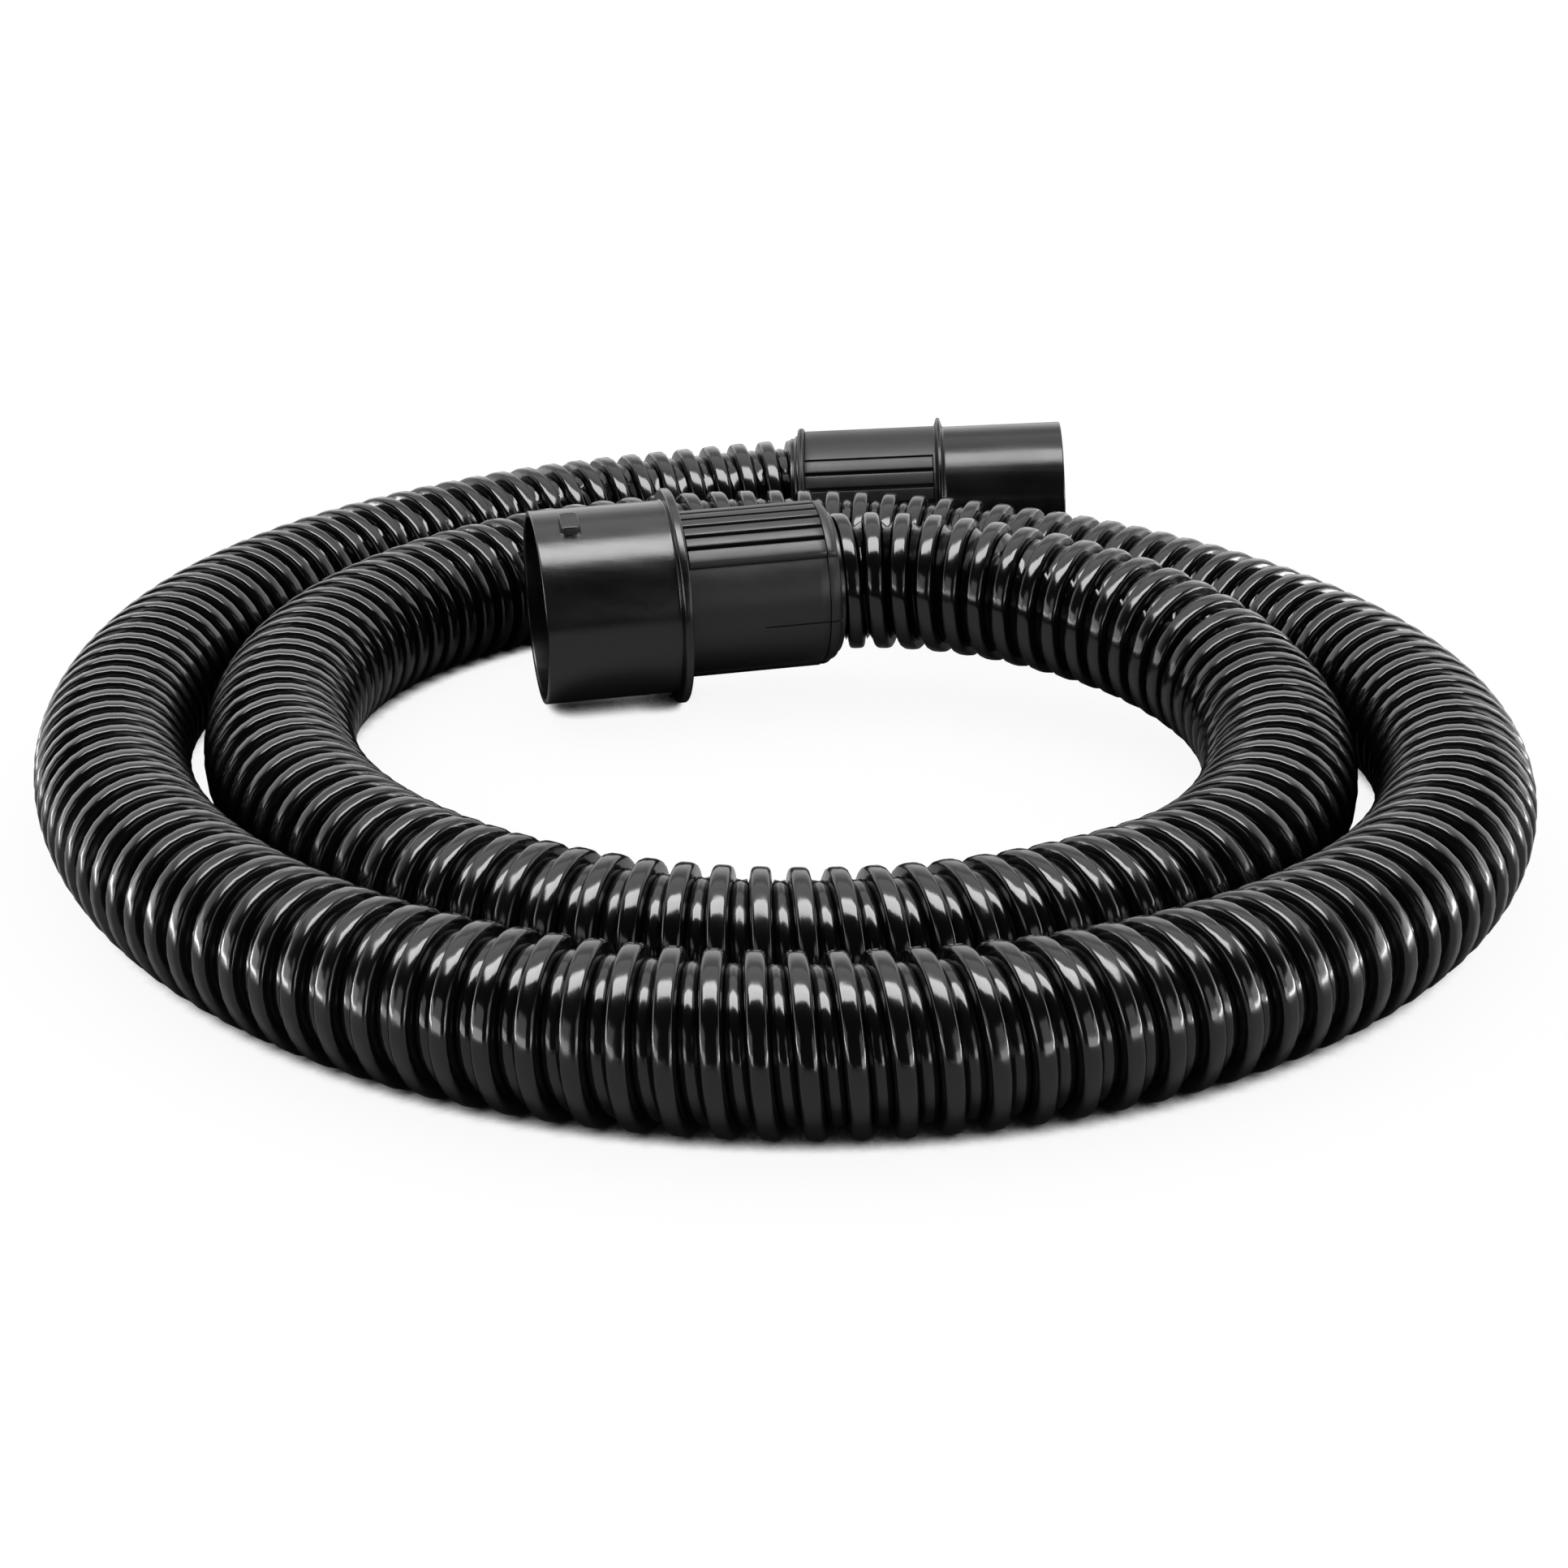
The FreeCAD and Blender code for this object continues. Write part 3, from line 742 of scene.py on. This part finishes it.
def sleeve_patches(end, outside, rib):
    """The sleeve: its outside as an outline carried round, and its bore with a thread between the wide
    ribs of the hose, a helix of the hose's own turn length that fades out at both ends. rib is the
    place of a low rib's middle on the upper side."""
    angle = np.linspace(0, ROUND, SLEEVE_SIDES + 1)[None, :]
    radius, place = np.array(outside, float).T
    shell = grid(end.around(place[:, None], angle, radius[:, None]) * MM)
    start, stop = place[0], place[-1]
    step, depth = np.array(THREAD_FORM).T
    turns = np.arange(-THREAD_TURNS, THREAD_TURNS + 1)
    middle = rib + (turns[:, None] * TURN_LENGTH + step).ravel()
    middle = middle[:, None] + TURN_LENGTH * angle / ROUND
    inside = np.flatnonzero((middle.max(axis=1) > start) & (middle.min(axis=1) < stop))
    kept = slice(inside[0] - 1, inside[-1] + 2)
    depth = np.tile(depth, len(turns))[kept, None]
    middle = np.clip(middle[kept], start, stop)
    left = np.minimum(middle - start, start + THREAD_LENGTH - middle)
    share = np.clip(left / THREAD_FADE, 0, 1)
    bore = SLEEVE_BORE + (THREAD_CREST - SLEEVE_BORE) * depth * share
    return [shell, grid(end.around(middle, angle, bore) * MM)]


def mark_grip(piece, end):
    """Writes how far each point belongs to the grip: 0 on the barrel and 1 past the flange's edge."""
    points = np.empty(3 * len(piece.data.vertices))
    piece.data.vertices.foreach_get("co", points)
    place = (points.reshape(-1, 3) / MM - end.mouth) @ end.along
    mark = piece.data.attributes.new("grip", "FLOAT", "POINT")
    mark.data.foreach_set("value", smooth_step(place, FLANGE_PLACE, GRIP_PLACE))


def quarter_round(foot, top, start, stop, points=7):
    """Corners of a quarter of an ellipse from a top radius at a place down to a foot further on."""
    turn = np.linspace(0, math.pi / 2, points)
    radius = foot + (top - foot) * np.cos(turn)
    place = start + (stop - start) * np.sin(turn)
    return [(*corner, 0) for corner in zip(radius, place)]


# The outlines: the radius and the place of each corner, and the radius of its rounding. A cuff has
# points on its grip's panel where the strips and the slit start and end. The sleeves' corners are plain.
TANK_CUFF = [
    (28.7, 0.0, 0.5),
    (28.7, 39.3, 0.5),
    (32.1, 39.7, 0.8),
    (32.1, 42.3, 0.8),
    (23.4, 42.7, 0.4),
    (23.4, 43.4, 0),
    (23.4, 43.8, 0),
    (23.4, 64.9, 0),
    (23.4, 65.2, 0),
    (23.4, 84.25, 0),
    (23.4, 84.5, 0),
    (22.5, 84.5, 0),
    (22.5, 42.2, 0.3),
    (16.0, 42.2, 0.3),
    (16.0, 39.8, 0.5),
    (27.1, 33.8, 2.0),
    (27.1, 0.0, 0.5),
]
TANK_RING = [
    (21.6, 81.6, 0.1),
    (22.45, 81.6, 0.1),
    (22.45, 84.7, 0),
    (24.55, 84.7, 0),
    (24.75, 84.8, 0),
    *quarter_round(22.3, 24.8, 85.1, 88.2),
    (21.6, 88.2, 0.1),
]
WAND_CUFF = [
    (22.7, 0.0, 0.5),
    (22.7, 39.7, 0.9),
    (25.8, 40.6, 0.42),
    (25.8, 41.6, 0.42),
    (23.1, 42.5, 0.4),
    (23.1, 43.2, 0),
    (23.1, 43.6, 0),
    (23.1, 85.85, 0),
    (23.1, 86.1, 0),
    (22.2, 86.1, 0),
    (22.2, 42.3, 0.3),
    (16.0, 42.3, 0.3),
    (16.0, 39.9, 0.5),
    (21.2, 33.9, 2.0),
    (21.2, 0.0, 0.5),
]
WAND_RING_SIDES = 144
WAND_RING = [
    (21.6, 83.2, 0.1),
    (22.15, 83.2, 0.1),
    (22.15, 86.25, 0.02),
    (24.2, 86.25, 0.9),
    (24.2, 88.5, 1.1),
    (21.6, 88.5, 0.1),
]
TANK_SLEEVE = [
    (20.6, 46.5),
    (16.0, 46.5),
    (16.0, 44.5),
    (22.2, 44.5),
    (22.2, 81.3),
    (21.3, 81.3),
    (21.3, 89.2),
    (21.2, 89.45),
    (20.95, 89.58),
    (20.6, 89.6),
]
WAND_SLEEVE = [
    (20.6, 46.6),
    (16.0, 46.6),
    (16.0, 44.6),
    (21.9, 44.6),
    (21.9, 82.9),
    (21.3, 82.9),
    (21.3, 88.8),
    (21.75, 88.85),
    (21.65, 89.1),
    (20.95, 89.8),
    (20.72, 89.95),
    (20.72, 90.2),
    (20.95, 90.35),
    (20.9, 90.9),
    (20.6, 91.1),
]

tank_grip = Grip(panel=23.4, rise=1.6, start=43.4, pitch=10.15, centre=19.2)
wand_grip = Grip(
    panel=23.1, rise=0.6, start=43.2, pitch=13.15, centre=-79.3, edge_groove=True, crown=0.06
)
tank_slit = Slit(angle=101.5, start=65.0, depth=0.4)
tank_lug = lug_patch(
    tank, place=10.3, angle=19.2, width=8.0, length=5.6, height=2.5, barrel=28.7, corner=1.5
)

tank_shell = add_piece(
    "tank_cuff_shell",
    [cuff_patch(tank, TANK_CUFF, tank_grip, tank_slit), tank_lug],
    "tank_end",
    ["tank_cuff"],
    tank_moulding,
)
tank_ring = add_piece(
    "tank_ring_band",
    [ring_patch(tank, TANK_RING, tank_grip, tank_slit, foot=22.45, beside=0.45)],
    "tank_end",
    ["tank_end_ring"],
    tank_moulding,
)
wand_shell = add_piece(
    "wand_cuff_shell",
    [cuff_patch(wand, WAND_CUFF, wand_grip)],
    "wand_end",
    ["wand_cuff"],
    wand_moulding,
)
wand_ring = add_piece(
    "wand_ring_bead",
    [turned(wand, WAND_RING, np.arange(WAND_RING_SIDES) * ROUND / WAND_RING_SIDES)],
    "wand_end",
    ["wand_end_ring"],
    wand_moulding,
)
for piece, end in ((tank_shell, tank), (tank_ring, tank), (wand_shell, wand), (wand_ring, wand)):
    mark_grip(piece, end)

half_turn = TURN_LENGTH / 2
tank_rib = TANK_STRAIGHT[0] + half_turn
wand_rib = WAND_STRAIGHT[-1] + (hose_line.length / MM - half_turn) % TURN_LENGTH
for name, end, outside, rib, material in (
    ("tank_sleeve_collar", tank, TANK_SLEEVE, tank_rib, tank_moulding),
    ("wand_sleeve_collar", wand, WAND_SLEEVE, wand_rib, wand_moulding),
):
    node = name.removesuffix("_collar")
    add_piece(name, sleeve_patches(end, outside, rib), "hose", [node], material)
for name in ("tank_seal", "wand_seal"):
    seal = frame["nodes"][name]
    seal.data.materials.clear()
    seal.data.materials.append(rubber)

# The floor, the world and the lamps

FLOOR_REACH = 6.0
FLOOR_HEIGHT = -0.0001
OWN_WHITE = 0.92
LIT_WHITE = (0.8, 0.8, 0.8, 1)
DIM_WHITE = (0.1, 0.1, 0.1, 1)
FULL_WHITE = (1, 1, 1, 1)

# How near a thing has to be for the floor's painted shadow, and the range of openness over which that
# painted shadow turns from dark to clear: right under a thing for the camera, and beside it in
# reflections, as painted shade.
PAINTED_SHADOW_DISTANCE, PAINTED_SHADOW_RANGE = 0.012, (0.12, 0.32)
PAINTED_SHADE_DISTANCE, PAINTED_SHADE_RANGE = 0.06, (0.42, 0.72)

# Its painted light in reflections: a painted pool of light, from the middle of the pool outwards, and
# painted brighter fields past the sides, over the square of the distance to a side.
POOL_RANGE, POOL_PAINTED_LIGHT = (0.3, 0.9), (0.45, 0.1)
SIDES_RANGE, SIDES_PAINTED_LIGHT = (0.07, 0.2), (0.0, 2.0)

# The world's white in reflections, from the camera's side to the back and from low to high, and the
# white that lights the object.
BACK_RANGE, BACK_WHITE = (-0.1, 0.3), (0.02, 1.0)
LOW_RANGE, LOW_WHITE = (0.35, 0.65), (1.4, 0.8)
LIGHT_WHITE = 0.7


def add_floor():
    """A white floor. The camera and reflections see its own white and some of its lit white, so that
    the object's shadow stays on it. Its own white is darkened close under things for the camera, a
    painted contact shadow, and close beside the object in reflections, painted shade. In reflections it
    also has a painted pool of light round the object, and painted brighter fields past the object's
    sides."""
    mesh = bpy.data.meshes.new("floor")
    corners = np.array([[-1, -1], [1, -1], [1, 1], [-1, 1]]) * FLOOR_REACH
    mesh.from_pydata(np.column_stack([corners, np.full(4, FLOOR_HEIGHT)]), [], [(0, 1, 2, 3)])
    material, board = new_material("white_floor")
    path = board.add("ShaderNodeLightPath", {}, {})
    camera = board.out(path, "Is Camera Ray")
    seen = camera + board.out(path, "Is Glossy Ray") + board.out(path, "Is Transmission Ray")
    # Ambient occlusion darkens the floor's own white: a painted contact shadow for the camera, and
    # painted shade beside the object in reflections.
    painted_shadow_occlusion = board.add("ShaderNodeAmbientOcclusion", {"samples": 16}, {"Distance": PAINTED_SHADOW_DISTANCE})
    under = board.limit(board.out(painted_shadow_occlusion, "AO"), *PAINTED_SHADOW_RANGE, 0.0, 1.0)
    painted_shade_occlusion = board.add("ShaderNodeAmbientOcclusion", {"samples": 8}, {"Distance": PAINTED_SHADE_DISTANCE})
    beside = board.limit(board.out(painted_shade_occlusion, "AO"), *PAINTED_SHADE_RANGE, 0.0, 1.0)
    # A painted pool of light round the middle and painted brighter fields past the sides, both seen only
    # in reflections.
    away = board.add("ShaderNodeVectorMath", {"operation": "LENGTH"}, {0: board.place()})
    pool = board.limit(board.out(away, "Value"), *POOL_RANGE, *POOL_PAINTED_LIGHT)
    across = board.out(board.add("ShaderNodeSeparateXYZ", {}, {0: board.place()}), "X")
    sides = board.limit(across * across, *SIDES_RANGE, *SIDES_PAINTED_LIGHT)
    # The floor's glow: its even white for the camera under a painted shadow, and painted light dimmed by
    # painted shade in reflections.
    strength = OWN_WHITE * camera * under + (1 - camera) * (pool + sides) * beside
    lit = board.out(board.add("ShaderNodeBsdfDiffuse", {}, {"Color": LIT_WHITE}), "BSDF")
    dim = board.out(board.add("ShaderNodeBsdfDiffuse", {}, {"Color": DIM_WHITE}), "BSDF")
    white = board.add("ShaderNodeEmission", {}, {"Color": FULL_WHITE, "Strength": strength})
    both = board.add("ShaderNodeAddShader", {}, {0: dim, 1: board.out(white, "Emission")})
    surface = board.shaders(seen, lit, board.out(both, "Shader"))
    board.add("ShaderNodeOutputMaterial", {}, {"Surface": surface})
    mesh.materials.append(material)
    floor = bpy.data.objects.new("floor", mesh)
    bpy.context.scene.collection.objects.link(floor)


def light_world():
    """White all round for the camera. In reflections the back is pale, most of all low down, and the
    side that the camera stands on is dark, as the room was."""
    world = bpy.data.worlds.new("studio")
    bpy.context.scene.world = world
    world.use_nodes = True
    board = Board(world.node_tree)
    path = board.add("ShaderNodeLightPath", {}, {})
    camera, glossy = board.out(path, "Is Camera Ray"), board.out(path, "Is Glossy Ray")
    towards = board.out(board.add("ShaderNodeTexCoord", {}, {}), "Generated")
    way = board.add("ShaderNodeSeparateXYZ", {}, {0: towards})
    behind = board.limit(board.out(way, "Y"), *BACK_RANGE, *BACK_WHITE)
    low = board.limit(board.out(way, "Z"), *LOW_RANGE, *LOW_WHITE)
    strength = camera + (1 - camera) * (glossy * behind * low + (1 - glossy) * LIGHT_WHITE)
    back = board.add("ShaderNodeBackground", {}, {"Color": FULL_WHITE, "Strength": strength})
    board.add("ShaderNodeOutputWorld", {}, {"Surface": board.out(back, "Background")})


def add_panel(name, place, aim, size, radiance, lights_all=True):
    """A lamp panel at a place that faces a point. Its power is its radiance times its area times pi.
    It lights everything, or else shows in reflections alone."""
    data = bpy.data.lights.new(name, "AREA")
    data.shape = "RECTANGLE"
    width, height = size
    data.size, data.size_y = width, height
    data.energy = radiance * math.pi * width * height
    lamp = bpy.data.objects.new(name, data)
    lamp.location = place
    lamp.rotation_euler = (Vector(aim) - Vector(place)).to_track_quat("-Z", "Y").to_euler()
    lamp.visible_camera = False
    lamp.visible_diffuse = lights_all
    bpy.context.scene.collection.objects.link(lamp)


# The lamps on both sides: name, place on the right, the point faced, width and height, and radiance.
SIDE_PANELS = [
    ("side_panel", (1.1, -0.2, 0.2), (0, -0.2, 0.2), (1.0, 0.4), 2.8),
    ("side_strip", (1.09, -0.2, 0.04), (0, -0.2, 0.04), (1.0, 0.08), 18.0),
    ("tall_panel", (0.75, -0.9, 0.35), (0, -0.15, 0.35), (0.62, 0.7), 1.2),
    ("low_panel", (0.74, -0.89, 0.1), (0, -0.15, 0.1), (0.62, 0.2), 4.0),
]

bpy.context.scene.view_settings.view_transform = "Standard"
add_floor()
light_world()
add_panel("back_panel", (0, 1.12, 2.78), (0, 0, 0), (5.0, 2.1), 0.85)
add_panel("front_strip", (0, -0.12, 1.42), (0, -0.12, 0), (1.8, 0.6), 13.0, lights_all=False)
for side in (-1, 1):
    for name, (aside, along, above), aim, size, radiance in SIDE_PANELS:
        add_panel(name, (aside * side, along, above), aim, size, radiance, lights_all=False)
